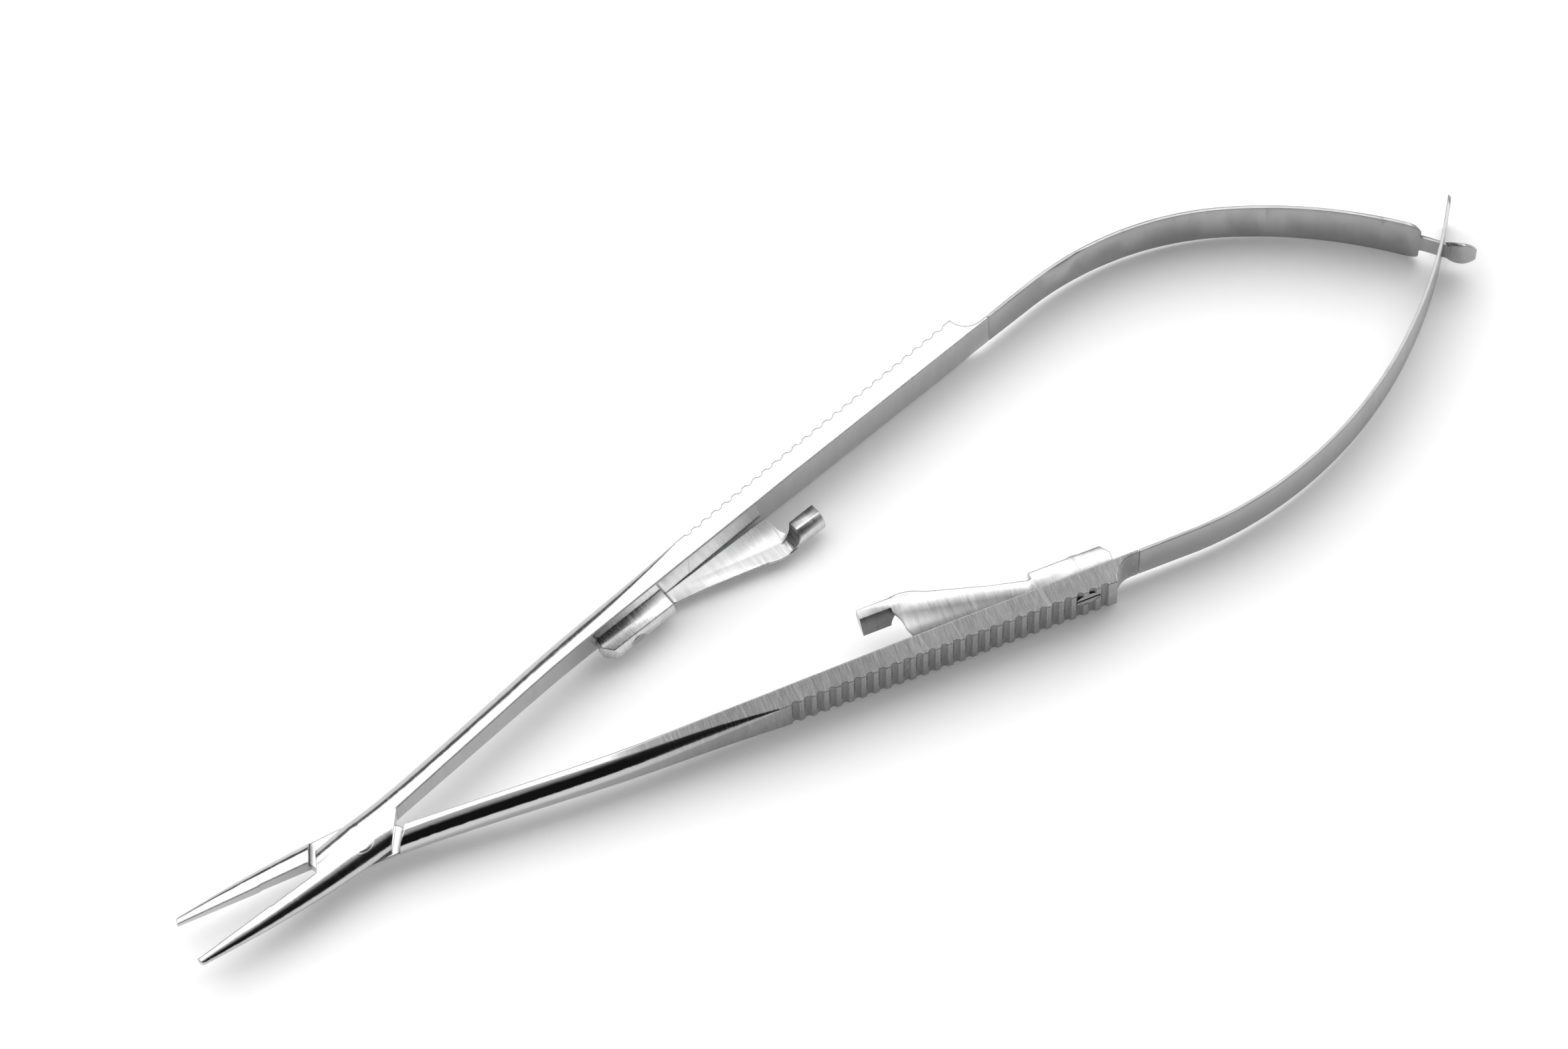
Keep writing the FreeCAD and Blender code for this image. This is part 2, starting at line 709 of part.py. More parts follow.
def make_tongue_spring(name):
    """The spring that ends in a narrow tongue with a curled knob."""
    body = doc.addObject("PartDesign::Body", name)
    body.Label = name
    start, steps, r1, r2 = spring_track(1, size("tongue_middle_heading"), size("tongue_heading"))
    curl = math.radians(size("knob_curl"))
    steps += [(size("neck_length"), 0), (size("knob_length"), curl)]
    track = walk(start[0], start[1], start[2], steps)
    strip = draw(body, "strip_outline", "XY_Plane", [ribbon(track, spring_thickness)])
    pad(body, "strip", strip, "spring_tail_height")
    root = size("spring_root_height") / 2
    tail = size("spring_tail_height") / 2
    heading = math.radians(size("tongue_heading"))
    shoulder = size("crossing_at") - size("shoulder_back") * math.cos(heading)
    knob = track[4][0][0]
    end = track[4][2][0]
    turn = size("shoulder_round")
    neck = size("tongue_height") / 2
    tall = size("knob_height") / 2
    middle = knob + 0.52 * (end - knob)
    kept = [
        (start[0] - 1, root), (shoulder - turn, tail),
        ((shoulder - 0.293 * turn, tail - 0.293 * turn), (shoulder, tail - turn)),
        (shoulder, neck + 0.3), ((shoulder + 0.09, neck + 0.09), (shoulder + 0.3, neck)),
        (knob - 0.05, neck),
        ((knob + 0.2 * (middle - knob), neck + 0.55 * (tall - neck)), (middle, tall)),
        ((end - 0.16 * (end - middle), 0.62 * tall), (end, 0.0)),
    ]
    taper(body, start[0] - 1, kept, end + 3)
    body.Placement = Placement(Vector(pivot_x, 0, mid_z), Rotation())
    finish_body(body)
    return body, track, r1, r2


def make_slot_spring(name):
    """The spring whose tail has the slot that the tongue hooks through."""
    body = doc.addObject("PartDesign::Body", name)
    body.Label = name
    start, steps, r1, r2 = spring_track(-1, size("slot_middle_heading"), size("slot_heading"))
    tail_length = size("slot_tail")
    steps[2] = (steps[2][0] + tail_length, steps[2][1] - tail_length / r2)
    track = walk(start[0], start[1], start[2], steps)
    strip = draw(body, "strip_outline", "XY_Plane", [flip(ribbon(track, spring_thickness), -1)])
    pad(body, "strip", strip, "spring_tail_height")
    root = size("spring_root_height") / 2
    tail = size("spring_tail_height") / 2
    turn = size("tail_corner")
    end = track[-1][2][0]
    kept = [
        (start[0] - 1, root), (size("crossing_at"), tail), (end - turn + 0.1, tail),
        ((end - 0.293 * turn + 0.1, tail - 0.293 * turn), (end + 0.1, tail - turn)), (end + 0.1, 0.0),
    ]
    taper(body, start[0] - 1, kept, end + 3)
    long_half = size("slot_length") / 2
    tall_half = size("tongue_height") / 2 + size("slot_clearance")
    window = [(-long_half, -tall_half), (long_half, -tall_half), (long_half, tall_half), (-long_half, tall_half)]
    place = Placement(Vector(size("crossing_at"), 0, size("crossing_side")),
                      Rotation(Vector(0, 1, 0), size("slot_heading")))
    slot = body.newObject("PartDesign::Pocket", "slot")
    slot.Profile = draw(body, "slot_outline", "XZ_Plane", [window], place)
    slot.Type = "Length"
    slot.SideType = "Symmetric"
    slot.Length = 4.0
    body.Placement = Placement(Vector(pivot_x, 0, mid_z), Rotation())
    finish_body(body)
    return body, track, r1, r2


parts = []
outer_arm = make_arm("outer_arm", 1, 1, size("outer_catch_at"))
inner_arm = make_arm("inner_arm", -1, -1, size("inner_catch_at"))
pin = make_pin("pivot_pin")
outer_catch = make_catch("outer_catch", 1, size("outer_catch_at"))
inner_catch = make_catch("inner_catch", -1, size("inner_catch_at"))
outer_screw = make_screw("outer_catch_screw", 1, size("outer_catch_at"))
inner_screw = make_screw("inner_catch_screw", -1, size("inner_catch_at"))
tongue, tongue_track, tongue_r1, tongue_r2 = make_tongue_spring("tongue_spring")
slotted, slot_track, slot_r1, slot_r2 = make_slot_spring("slot_spring")
parts = [outer_arm, inner_arm, pin, outer_catch, inner_catch, outer_screw, inner_screw, tongue, slotted]

print("tongue spring bends %.2f and %.2f mm" % (tongue_r1, tongue_r2))
print("slot spring bends %.2f and %.2f mm" % (slot_r1, slot_r2))
root_x, root_y = grip_point(1, lip_end + size("spring_gap") + spring_thickness / 2, spring_thickness / 2)
print("spring roots at %.4f, +-%.4f mm" % (pivot_x + root_x, root_y))

os.makedirs("parts", exist_ok=True)
box = None
for body in parts:
    for other in doc.Objects:
        if "Invalid" in other.State or "Error" in other.State:
            raise RuntimeError(other.Name + " failed")
    shape = body.Shape
    if shape.isNull() or not shape.isValid() or len(shape.Solids) != 1:
        raise RuntimeError(body.Label + " is not one valid solid")
    print("%s volume %.3f" % (body.Label, shape.Volume))
    if box is None:
        box = FreeCAD.BoundBox(shape.BoundBox)
    else:
        box.add(shape.BoundBox)
    shape.exportStep("parts/%s.step" % body.Label)
print("box %.3f..%.3f, %.3f..%.3f, %.3f..%.3f" % (box.XMin, box.XMax, box.YMin, box.YMax, box.ZMin, box.ZMax))
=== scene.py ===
"""Looks of a cross-lock surgical needle holder that lies open on a pale table.

Metres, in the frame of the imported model: X runs from the jaws to the spring
tail, Y across the handles and Z up from the table. Names that end in _mm are
in millimetres of that frame, and names that end in _deg are in degrees.
"""

import logging
import math
from dataclasses import dataclass
from enum import Enum
from typing import Callable, Sequence

import bpy
from bpy.types import Material, Node, NodeSocket, NodeTree, Object
from mathutils import Matrix, Vector


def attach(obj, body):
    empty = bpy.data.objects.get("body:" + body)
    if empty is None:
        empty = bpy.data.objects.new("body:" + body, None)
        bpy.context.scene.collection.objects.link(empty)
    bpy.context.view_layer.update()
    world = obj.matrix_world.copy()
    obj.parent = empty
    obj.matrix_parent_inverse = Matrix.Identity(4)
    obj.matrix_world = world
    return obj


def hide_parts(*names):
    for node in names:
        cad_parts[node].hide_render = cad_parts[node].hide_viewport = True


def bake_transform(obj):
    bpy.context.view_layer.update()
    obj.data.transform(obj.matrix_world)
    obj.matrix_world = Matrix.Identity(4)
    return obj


log = logging.getLogger("needle_holder")
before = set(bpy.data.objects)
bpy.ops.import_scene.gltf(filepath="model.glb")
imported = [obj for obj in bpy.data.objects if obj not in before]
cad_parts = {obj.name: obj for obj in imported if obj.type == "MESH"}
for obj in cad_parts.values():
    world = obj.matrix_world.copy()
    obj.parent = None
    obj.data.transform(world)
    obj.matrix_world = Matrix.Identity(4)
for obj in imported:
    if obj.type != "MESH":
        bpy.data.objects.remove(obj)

MM = 0.001
FRAME_WIDTH_PX = 2343
SENSOR_WIDTH_MM = 36.0

# Points nearer than these are one point, in metres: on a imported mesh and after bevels.
PACKED_WELD = 2e-6
BEVEL_WELD = 3e-6
SLIVER = 2e-6
# Triangles of one flat face differ by less than this, and shading breaks above the second.
FLAT_DEG = 1.0
SMOOTH_DEG = 32.0

# Windows that turn a noise into marks: where a mark begins and where it is full.
STREAK_WINDOW = (0.3, 0.7)
BAND_WINDOW = (0.35, 0.65)
WIPE_WINDOW = (0.35, 0.7)
SCRATCH_WINDOW = (0.74, 0.80)
# Cosine between true and rounded normal, on an untouched face and on a worn edge.
EDGE_WINDOW = (0.995, 0.80)
# Light that reaches an open face and a hollow.
HOLLOW_WINDOW = (0.985, 0.74)
# Upward part of the normal on a face flush with a pin, and on one that slopes too much.
FLUSH_WINDOW = (0.9965, 0.9925)
FLUSH_FADE_MM = 0.25
FLUSH_FADE_SHARE = 1.05
RAY_SAMPLES = 6

STREAK_SHARE = 0.6
BAND_SHARE = 0.4
WIPE_SHARE = 0.5


class Grain(Enum):
    """Which way the marks of the finishing belt run."""

    CROSSWISE = "crosswise"
    LENGTHWISE = "lengthwise"


# ---------------------------------------------------------------- node helpers

def grey(value: float) -> tuple[float, float, float, float]:
    """A neutral, opaque colour.

    Args:
        value: Its red, green and blue.

    Returns:
        The colour with alpha.
    """
    return value, value, value, 1.0


def new_material(name: str) -> tuple[Material, NodeTree, NodeSocket]:
    """A material with nothing but its output node.

    Args:
        name: The material's name.

    Returns:
        The material, its tree and the output's surface socket.
    """
    made = bpy.data.materials.new(name)
    made.use_nodes = True
    tree = made.node_tree
    tree.nodes.clear()
    return made, tree, tree.nodes.new("ShaderNodeOutputMaterial").inputs["Surface"]


def add_node(tree: NodeTree, kind: str, **values: object) -> Node:
    """Add a node and set its properties and unlinked inputs.

    Args:
        tree: The node tree that receives the node.
        kind: The node's type name.
        **values: Properties of the node, or its inputs by name with
            spaces written as underscores.

    Returns:
        The new node.
    """
    node = tree.nodes.new(kind)
    for name, value in values.items():
        if hasattr(node, name):
            setattr(node, name, value)
        else:
            node.inputs[name.replace("_", " ")].default_value = value
    return node


def math_node(tree: NodeTree, operation: str, a: NodeSocket | float,
              b: NodeSocket | float = 0.0, clamp: bool = False) -> NodeSocket:
    """A Math node on sockets or numbers.

    Args:
        tree: The node tree.
        operation: The Math node's operation.
        a: First operand, a socket or a number.
        b: Second operand, a socket or a number.
        clamp: Whether the result is held between 0 and 1.

    Returns:
        The node's output socket.
    """
    node = add_node(tree, "ShaderNodeMath", operation=operation, use_clamp=clamp)
    for index, value in enumerate((a, b)):
        if isinstance(value, (int, float)):
            node.inputs[index].default_value = value
        else:
            tree.links.new(value, node.inputs[index])
    return node.outputs[0]


def map_range(tree: NodeTree, value: NodeSocket, window: tuple[float, float],
              low: float = 0.0, high: float = 1.0) -> NodeSocket:
    """A smooth Map Range node.

    Args:
        tree: The node tree.
        value: The socket that is mapped.
        window: The values that become low and high.
        low: Result at the window's start.
        high: Result at the window's end.

    Returns:
        The mapped value's socket.
    """
    node = add_node(tree, "ShaderNodeMapRange", interpolation_type="SMOOTHSTEP",
                    From_Min=window[0], From_Max=window[1], To_Min=low, To_Max=high)
    tree.links.new(value, node.inputs["Value"])
    return node.outputs["Result"]


def seen_directly(tree: NodeTree) -> NodeSocket:
    """A mask of what the camera sees, straight or by mirror or glass.

    Args:
        tree: The node tree.

    Returns:
        The mask, 1 for those rays and 0 for soft light.
    """
    path = tree.nodes.new("ShaderNodeLightPath")
    seen = math_node(tree, "ADD", path.outputs["Is Camera Ray"], path.outputs["Is Glossy Ray"])
    return math_node(tree, "ADD", seen, path.outputs["Is Transmission Ray"], clamp=True)


def new_group(name: str, inputs: Sequence[tuple[str, str, float]],
              outputs: Sequence[tuple[str, str]]) -> tuple[NodeTree, Node, Node]:
    """An empty shader node group with its sockets.

    Args:
        name: The group's name.
        inputs: Name, socket type and default of each input.
        outputs: Name and socket type of each output.

    Returns:
        The group, its input node and its output node.
    """
    group = bpy.data.node_groups.new(name, "ShaderNodeTree")
    for label, kind, default in inputs:
        socket = group.interface.new_socket(name=label, in_out="INPUT", socket_type=kind)
        if kind == "NodeSocketFloat":
            socket.default_value = default
    for label, kind in outputs:
        group.interface.new_socket(name=label, in_out="OUTPUT", socket_type=kind)
    return group, group.nodes.new("NodeGroupInput"), group.nodes.new("NodeGroupOutput")


class Effects:
    """Shader node groups that several finishes share, each built once."""

    def __init__(self) -> None:
        """Build every group."""
        self.grain = self._belt_grain()
        self.edges = self._rounded_edges()
        self.handling = self._handling_marks()
        self.hollows = self._painted_hollow_shade()

    def _belt_grain(self) -> NodeTree:
        """Fine parallel belt marks that run across the local X direction.

        Returns:
            The group, with fine streaks and the broader bands between them.
        """
        group, inp, out = new_group(
            "belt_grain",
            [("Vector", "NodeSocketVector", 0.0), ("Turn", "NodeSocketFloat", 0.0),
             ("Along", "NodeSocketFloat", 4000.0), ("Across", "NodeSocketFloat", 250.0)],
            [("Streaks", "NodeSocketFloat"), ("Bands", "NodeSocketFloat")])
        links = group.links
        turn = add_node(group, "ShaderNodeVectorRotate", rotation_type="Z_AXIS")
        links.new(inp.outputs["Vector"], turn.inputs["Vector"])
        links.new(inp.outputs["Turn"], turn.inputs["Angle"])
        scale = group.nodes.new("ShaderNodeCombineXYZ")
        links.new(inp.outputs["Along"], scale.inputs["X"])
        links.new(inp.outputs["Across"], scale.inputs["Y"])
        links.new(inp.outputs["Across"], scale.inputs["Z"])
        stretched = add_node(group, "ShaderNodeVectorMath", operation="MULTIPLY")
        links.new(turn.outputs["Vector"], stretched.inputs[0])
        links.new(scale.outputs["Vector"], stretched.inputs[1])
        fine = add_node(group, "ShaderNodeTexNoise", Scale=1.0, Detail=3.0, Roughness=0.7)
        coarse = add_node(group, "ShaderNodeTexNoise", Scale=0.22, Detail=2.0, Roughness=0.5)
        for noise, window, output in ((fine, STREAK_WINDOW, "Streaks"),
                                      (coarse, BAND_WINDOW, "Bands")):
            links.new(stretched.outputs["Vector"], noise.inputs["Vector"])
            links.new(map_range(group, noise.outputs["Fac"], window), out.inputs[output])
        return group

    def _rounded_edges(self) -> NodeTree:
        """Edges eased by polishing.

        Returns:
            The group, with a rounded normal and a mask of the worn edge.
        """
        group, inp, out = new_group(
            "rounded_edges", [("Radius", "NodeSocketFloat", 0.0001)],
            [("Normal", "NodeSocketVector"), ("Edge", "NodeSocketFloat")])
        links = group.links
        bevel = add_node(group, "ShaderNodeBevel", samples=RAY_SAMPLES)
        links.new(inp.outputs["Radius"], bevel.inputs["Radius"])
        geometry = group.nodes.new("ShaderNodeNewGeometry")
        dot = add_node(group, "ShaderNodeVectorMath", operation="DOT_PRODUCT")
        links.new(bevel.outputs["Normal"], dot.inputs[0])
        links.new(geometry.outputs["Normal"], dot.inputs[1])
        links.new(bevel.outputs["Normal"], out.inputs["Normal"])
        links.new(map_range(group, dot.outputs["Value"], EDGE_WINDOW), out.inputs["Edge"])
        return group

    def _painted_hollow_shade(self) -> NodeTree:
        """Painted shade for grooves and corners that light hardly reaches.

        Returns:
            The group, with a mask that is strong in them.
        """
        group, inp, out = new_group(
            "painted_hollow_shade", [("Distance", "NodeSocketFloat", 0.0005)],
            [("Hollow", "NodeSocketFloat")])
        near = add_node(group, "ShaderNodeAmbientOcclusion", samples=RAY_SAMPLES, only_local=True)
        group.links.new(inp.outputs["Distance"], near.inputs["Distance"])
        group.links.new(map_range(group, near.outputs["AO"], HOLLOW_WINDOW), out.inputs["Hollow"])
        return group

    def _handling_marks(self) -> NodeTree:
        """Faint wipe marks and a few hairline scratches.

        Returns:
            The group, with a mask of each.
        """
        group, inp, out = new_group(
            "handling_marks", [("Vector", "NodeSocketVector", 0.0)],
            [("Wipe", "NodeSocketFloat"), ("Scratch", "NodeSocketFloat")])
        links = group.links
        wipe = add_node(group, "ShaderNodeTexNoise", Scale=140.0, Detail=4.0, Roughness=0.6,
                        Distortion=0.6)
        links.new(inp.outputs["Vector"], wipe.inputs["Vector"])
        links.new(map_range(group, wipe.outputs["Fac"], WIPE_WINDOW), out.inputs["Wipe"])
        warp = add_node(group, "ShaderNodeMapping", vector_type="POINT",
                        Rotation=(0.3, 0.2, 0.9), Scale=(2600.0, 90.0, 300.0))
        links.new(inp.outputs["Vector"], warp.inputs["Vector"])
        lines = add_node(group, "ShaderNodeTexNoise", Scale=1.0, Detail=0.0)
        links.new(warp.outputs["Vector"], lines.inputs["Vector"])
        links.new(map_range(group, lines.outputs["Fac"], SCRATCH_WINDOW), out.inputs["Scratch"])
        return group


# ---------------------------------------------------------------- the steels

@dataclass(frozen=True)
class SteelNodes:
    """The nodes that a steel's colour, roughness and normal share.

    Attributes:
        tree: The material's tree.
        place: Object coordinates.
        along: X of the place where the finish changes along X, or else None.
        grain: The belt marks.
        edges: The rounded edges.
        marks: The wipe marks and scratches.
        hollows: The painted shade in hollows.
    """

    tree: NodeTree
    place: NodeSocket
    along: NodeSocket | None
    grain: Node
    edges: Node
    marks: Node
    hollows: Node


@dataclass(frozen=True)
class SteelFinish:
    """One steel surface, from mirror polish to satin.

    Attributes:
        name: The material's name.
        tint: Colour of the bare steel.
        shade: Colour in the troughs of the belt marks.
        roughness: Roughness of the clean surface.
        roughness_spread: How much the belt marks and wipes add to it.
        grain: Which way the belt marks run.
        turn_deg: Direction of the piece's length, from X.
        marks_per_mm: How fine the belt marks are.
        mark_length_mm: Rough length of one belt mark.
        relief_mm: Depth of the belt marks in the bump.
        edge_mm: Radius of the eased edges.
        crown: How far the flats lean towards the piece's left side.
        grain_from_mm: X where the belt marks begin and where they are full.
        mirror_tint: Brightness of the polished steel ahead of that.
        mirror_roughness: Roughness of the polished steel ahead of that.
        mirror_crown: Crown of the polished steel ahead of that.
        mirror_edge_mm: Radius of the eased edges ahead of that.
        flush_at_mm: Middle, from above, of a pin polished flush with the steel.
        flush_radius_mm: How far round that pin the edges stay unrounded.
        flush_right_mm: How far they do to the right of its middle.
        hollow_mm: How near a neighbouring face must be for shade to be painted in a hollow.
        hollow_shade: Share of the colour that is left in a hollow, where shade is painted.
    """

    name: str
    tint: tuple[float, float, float]
    shade: tuple[float, float, float]
    roughness: float
    roughness_spread: float
    grain: Grain = Grain.CROSSWISE
    turn_deg: float = 0.0
    marks_per_mm: float = 5.0
    mark_length_mm: float = 3.0
    relief_mm: float = 0.002
    edge_mm: float = 0.15
    crown: float = 0.0
    grain_from_mm: tuple[float, float] | None = None
    mirror_tint: float = 0.54
    mirror_roughness: float = 0.07
    mirror_crown: float = 0.06
    mirror_edge_mm: float = 0.3
    flush_at_mm: tuple[float, float] | None = None
    flush_radius_mm: float = 1.62
    flush_right_mm: float = 0.85
    hollow_mm: float = 0.6
    hollow_shade: float = 0.22

    @property
    def leftward(self) -> tuple[float, float, float]:
        """Level direction to the left of the piece's length."""
        turn = math.radians(self.turn_deg + 90.0)
        return math.cos(turn), math.sin(turn), 0.0

    def build(self, effects: Effects) -> Material:
        """Make the material.

        Args:
            effects: The shared node groups.

        Returns:
            The material, with its colour, roughness and normal from nodes.
        """
        made, tree, surface = new_material(self.name)
        links = tree.links
        shader = add_node(tree, "ShaderNodeBsdfPrincipled", Metallic=1.0)
        links.new(shader.outputs["BSDF"], surface)
        nodes = self._shared_nodes(tree, effects)
        links.new(self._colour(nodes), shader.inputs["Base Color"])
        links.new(self._roughness(nodes), shader.inputs["Roughness"])
        links.new(self._normal(nodes), shader.inputs["Normal"])
        return made

    def _shared_nodes(self, tree: NodeTree, effects: Effects) -> SteelNodes:
        """Add the node groups and set them for this finish.

        Args:
            tree: The material's tree.
            effects: The shared node groups.

        Returns:
            The nodes, linked to object coordinates.
        """
        place = tree.nodes.new("ShaderNodeTexCoord").outputs["Object"]
        grain_deg = -self.turn_deg + (0.0 if self.grain is Grain.CROSSWISE else 90.0)
        grain = add_node(tree, "ShaderNodeGroup", node_tree=effects.grain,
                         Turn=math.radians(grain_deg), Along=self.marks_per_mm / MM,
                         Across=1.0 / (self.mark_length_mm * MM))
        edges = add_node(tree, "ShaderNodeGroup", node_tree=effects.edges,
                         Radius=self.edge_mm * MM)
        marks = add_node(tree, "ShaderNodeGroup", node_tree=effects.handling)
        hollows = add_node(tree, "ShaderNodeGroup", node_tree=effects.hollows,
                           Distance=self.hollow_mm * MM)
        for node in (grain, marks):
            tree.links.new(place, node.inputs["Vector"])
        along = None
        if self.grain_from_mm is not None:
            apart = tree.nodes.new("ShaderNodeSeparateXYZ")
            tree.links.new(place, apart.inputs["Vector"])
            along = apart.outputs["X"]
        nodes = SteelNodes(tree, place, along, grain, edges, marks, hollows)
        if along is not None:
            tree.links.new(self._fade(nodes, self.mirror_edge_mm * MM, self.edge_mm * MM),
                           edges.inputs["Radius"])
        return nodes

    def _fade(self, nodes: SteelNodes, polished: float, brushed: float) -> NodeSocket:
        """A value that changes where the polish fades into belt marks.

        Args:
            nodes: The shared nodes, with X.
            polished: The value on the polished steel.
            brushed: The value where the belt marks are full.

        Returns:
            The value's socket.
        """
        start_mm, end_mm = self.grain_from_mm
        return map_range(nodes.tree, nodes.along, (start_mm * MM, end_mm * MM), polished, brushed)

    def _colour(self, nodes: SteelNodes) -> NodeSocket:
        """Steel with belt marks, brighter worn edges and painted shade in hollows.

        Args:
            nodes: The shared nodes.

        Returns:
            The colour's socket.
        """
        tree, links = nodes.tree, nodes.tree.links
        steel = add_node(tree, "ShaderNodeMix", data_type="RGBA")
        steel.inputs["A"].default_value = (*self.shade, 1.0)
        steel.inputs["B"].default_value = (*self.tint, 1.0)
        tone = math_node(tree, "ADD",
                         math_node(tree, "MULTIPLY", nodes.grain.outputs["Streaks"], STREAK_SHARE),
                         math_node(tree, "MULTIPLY", nodes.grain.outputs["Bands"], BAND_SHARE))
        tone = math_node(tree, "MAXIMUM", tone, nodes.edges.outputs["Edge"])
        links.new(tone, steel.inputs["Factor"])
        colour = steel.outputs["Result"]
        if nodes.along is not None:
            fade = add_node(tree, "ShaderNodeMix", data_type="RGBA")
            fade.inputs["A"].default_value = grey(self.mirror_tint)
            links.new(self._fade(nodes, 0.0, 1.0), fade.inputs["Factor"])
            links.new(colour, fade.inputs["B"])
            colour = fade.outputs["Result"]
        # Painted shade: the colour is darkened in hollows that nearby faces hide from the light.
        painted_shade = add_node(tree, "ShaderNodeMix", data_type="RGBA", blend_type="MULTIPLY")
        painted_shade.inputs["B"].default_value = grey(self.hollow_shade)
        links.new(nodes.hollows.outputs["Hollow"], painted_shade.inputs["Factor"])
        links.new(colour, painted_shade.inputs["A"])
        return painted_shade.outputs["Result"]

    def _roughness(self, nodes: SteelNodes) -> NodeSocket:
        """Roughness that rises with the belt marks, wipes and scratches.

        Args:
            nodes: The shared nodes.

        Returns:
            The roughness's socket.
        """
        tree, spread = nodes.tree, self.roughness_spread
        rough = math_node(tree, "MULTIPLY", nodes.grain.outputs["Streaks"], spread)
        for mark, weight in (("Wipe", WIPE_SHARE * spread), ("Scratch", spread)):
            added = math_node(tree, "MULTIPLY", nodes.marks.outputs[mark], weight)
            rough = math_node(tree, "ADD", rough, added)
        rough = math_node(tree, "ADD", rough, self.roughness, clamp=True)
        if nodes.along is not None:
            fade = add_node(tree, "ShaderNodeMix", data_type="FLOAT")
            fade.inputs["A"].default_value = self.mirror_roughness
            tree.links.new(self._fade(nodes, 0.0, 1.0), fade.inputs["Factor"])
            tree.links.new(rough, fade.inputs["B"])
            rough = fade.outputs["Result"]
        return rough

    def _normal(self, nodes: SteelNodes) -> NodeSocket:
        """Rounded edges, crowned flats and the relief of the marks.

        Args:
            nodes: The shared nodes.

        Returns:
            The normal's socket.
        """
        tree, links = nodes.tree, nodes.tree.links
        streaks = nodes.grain.outputs["Streaks"]
        if nodes.along is not None:
            streaks = math_node(tree, "MULTIPLY", streaks, self._fade(nodes, 0.0, 1.0))
        height = math_node(tree, "SUBTRACT", streaks, nodes.marks.outputs["Scratch"])
        bump = add_node(tree, "ShaderNodeBump", Strength=1.0, Distance=self.relief_mm * MM)
        links.new(height, bump.inputs["Height"])
        sideways = add_node(tree, "ShaderNodeVectorMath", operation="SCALE", Scale=self.crown)
        sideways.inputs[0].default_value = self.leftward
        if nodes.along is not None:
            links.new(self._fade(nodes, self.mirror_crown, self.crown), sideways.inputs["Scale"])
        rounded = nodes.edges.outputs["Normal"]
        if self.flush_at_mm is not None:
            rounded = self._flush_normal(nodes, rounded)
        lean = add_node(tree, "ShaderNodeVectorMath", operation="ADD")
        links.new(rounded, lean.inputs[0])
        links.new(sideways.outputs["Vector"], lean.inputs[1])
        level = add_node(tree, "ShaderNodeVectorMath", operation="NORMALIZE")
        links.new(lean.outputs["Vector"], level.inputs[0])
        links.new(level.outputs["Vector"], bump.inputs["Normal"])
        return bump.outputs["Normal"]

    def _flush_normal(self, nodes: SteelNodes, rounded: NodeSocket) -> NodeSocket:
        """The true normal near the flush pin and the rounded one elsewhere.

        Args:
            nodes: The shared nodes.
            rounded: The normal with rounded edges.

        Returns:
            The mixed normal.
        """
        tree, links = nodes.tree, nodes.tree.links
        x_mm, y_mm = self.flush_at_mm
        flat = add_node(tree, "ShaderNodeVectorMath", operation="MULTIPLY")
        flat.inputs[1].default_value = (1.0, 1.0, 0.0)
        links.new(nodes.place, flat.inputs[0])

        away = add_node(tree, "ShaderNodeVectorMath", operation="DISTANCE")
        away.inputs[1].default_value = (x_mm * MM, y_mm * MM, 0.0)
        links.new(flat.outputs["Vector"], away.inputs[0])
        radius = self.flush_radius_mm * MM
        outside = map_range(tree, away.outputs["Value"], (radius, FLUSH_FADE_SHARE * radius))

        geometry = tree.nodes.new("ShaderNodeNewGeometry")
        upright = tree.nodes.new("ShaderNodeSeparateXYZ")
        links.new(geometry.outputs["Normal"], upright.inputs["Vector"])
        steep = map_range(tree, math_node(tree, "ABSOLUTE", upright.outputs["Z"]), FLUSH_WINDOW)

        left_x, left_y, _ = self.leftward
        left = add_node(tree, "ShaderNodeVectorMath", operation="DOT_PRODUCT")
        left.inputs[1].default_value = self.leftward
        links.new(flat.outputs["Vector"], left.inputs[0])
        right_of_pin = math_node(tree, "SUBTRACT", (x_mm * left_x + y_mm * left_y) * MM,
                                 left.outputs["Value"])
        beside = map_range(tree, right_of_pin, (self.flush_right_mm * MM,
                                                (self.flush_right_mm + FLUSH_FADE_MM) * MM))

        chosen = add_node(tree, "ShaderNodeMix", data_type="VECTOR")
        apart = math_node(tree, "MAXIMUM", math_node(tree, "MAXIMUM", outside, steep), beside)
        links.new(apart, chosen.inputs["Factor"])
        links.new(geometry.outputs["Normal"], chosen.inputs["A"])
        links.new(rounded, chosen.inputs["B"])
        return chosen.outputs["Result"]


POLISHED = SteelFinish(
    name="polished_steel", tint=(0.54, 0.54, 0.54), shade=(0.47, 0.47, 0.475), roughness=0.12,
    roughness_spread=0.07, turn_deg=11.0, relief_mm=0.0004, edge_mm=0.3, crown=0.06,
    flush_at_mm=(-51.73, 0.0), hollow_shade=0.7)
BRUSHED = SteelFinish(
    name="brushed_steel", tint=(0.40, 0.40, 0.40), shade=(0.29, 0.29, 0.295), roughness=0.2,
    roughness_spread=0.08, turn_deg=-10.0, marks_per_mm=9.0, mark_length_mm=1.8,
    relief_mm=0.00035, crown=-0.08, grain_from_mm=(-34.0, -14.0))
# The two catches are one steel: the upper catch's lighter tint and shade are a painted highlight
# for the light it catches.
UPPER_CATCH = SteelFinish(
    name="upper_catch_steel", tint=(0.72, 0.72, 0.72), shade=(0.56, 0.56, 0.57), roughness=0.22,
    roughness_spread=0.1, turn_deg=9.0, marks_per_mm=8.0, mark_length_mm=2.2, relief_mm=0.0005)
LOWER_CATCH = SteelFinish(
    name="lower_catch_steel", tint=(0.60, 0.60, 0.60), shade=(0.44, 0.44, 0.45), roughness=0.24,
    roughness_spread=0.1, turn_deg=-9.0, marks_per_mm=8.0, mark_length_mm=2.2,
    relief_mm=0.0005, crown=-0.02)
